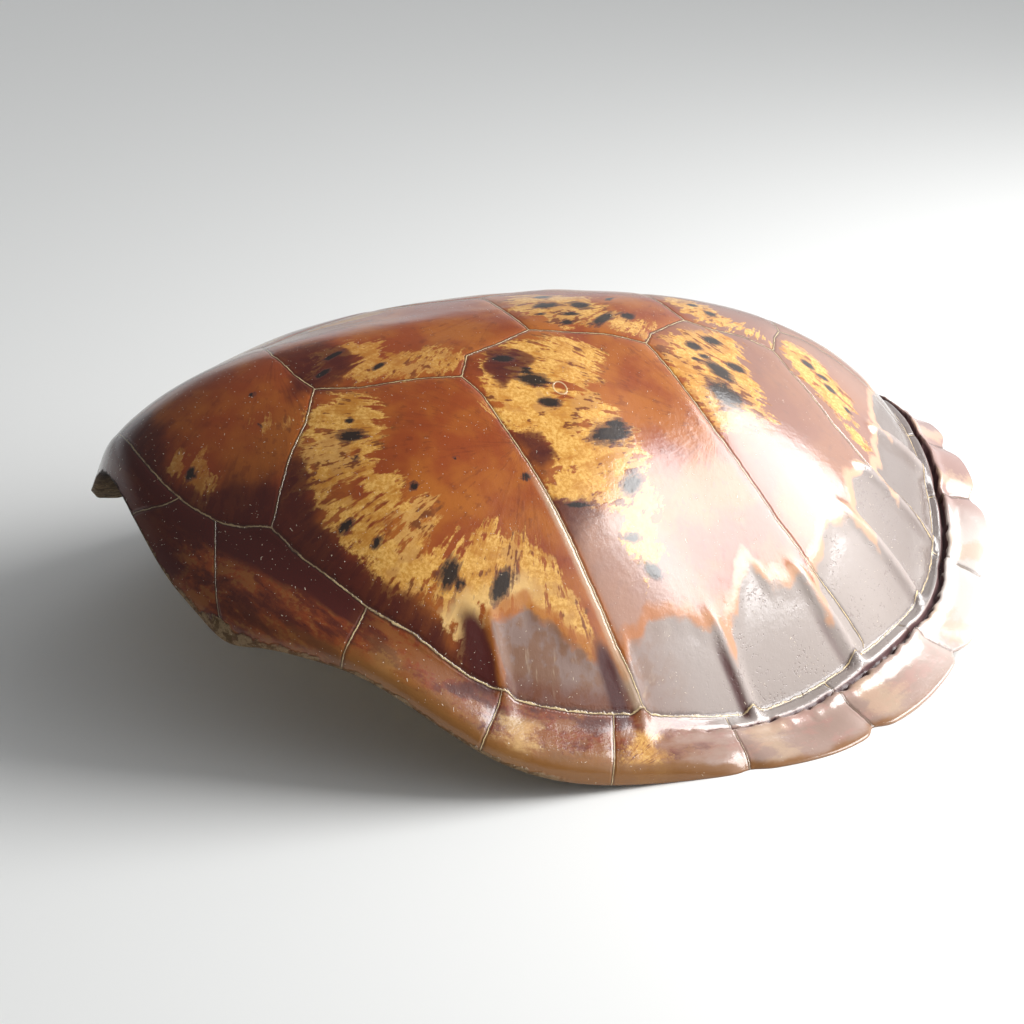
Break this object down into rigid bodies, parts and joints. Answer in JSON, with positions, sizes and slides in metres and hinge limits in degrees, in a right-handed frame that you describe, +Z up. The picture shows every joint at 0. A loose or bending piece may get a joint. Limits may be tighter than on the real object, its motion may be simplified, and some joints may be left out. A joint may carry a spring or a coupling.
{
  "type": "sea turtle shell",
  "caption": "Upper shell of a green sea turtle, dried and varnished: a hollow horn-plated dome with an arched neck opening and a scalloped rear rim, lying dome up.",
  "frame": {"origin": "centre of the shell's outline, on the floor it rests on", "axes": "+Z up through the dome, -X towards the neck, +X towards the tail, the animal's left side at -Y"},
  "size_m": [0.6188, 0.5366, 0.2224],
  "materials": {
    "varnished_horn": "gloss"
  },
  "bodies": {
    "root": {"carapace": "varnished_horn"}
  },
  "joints": []
}
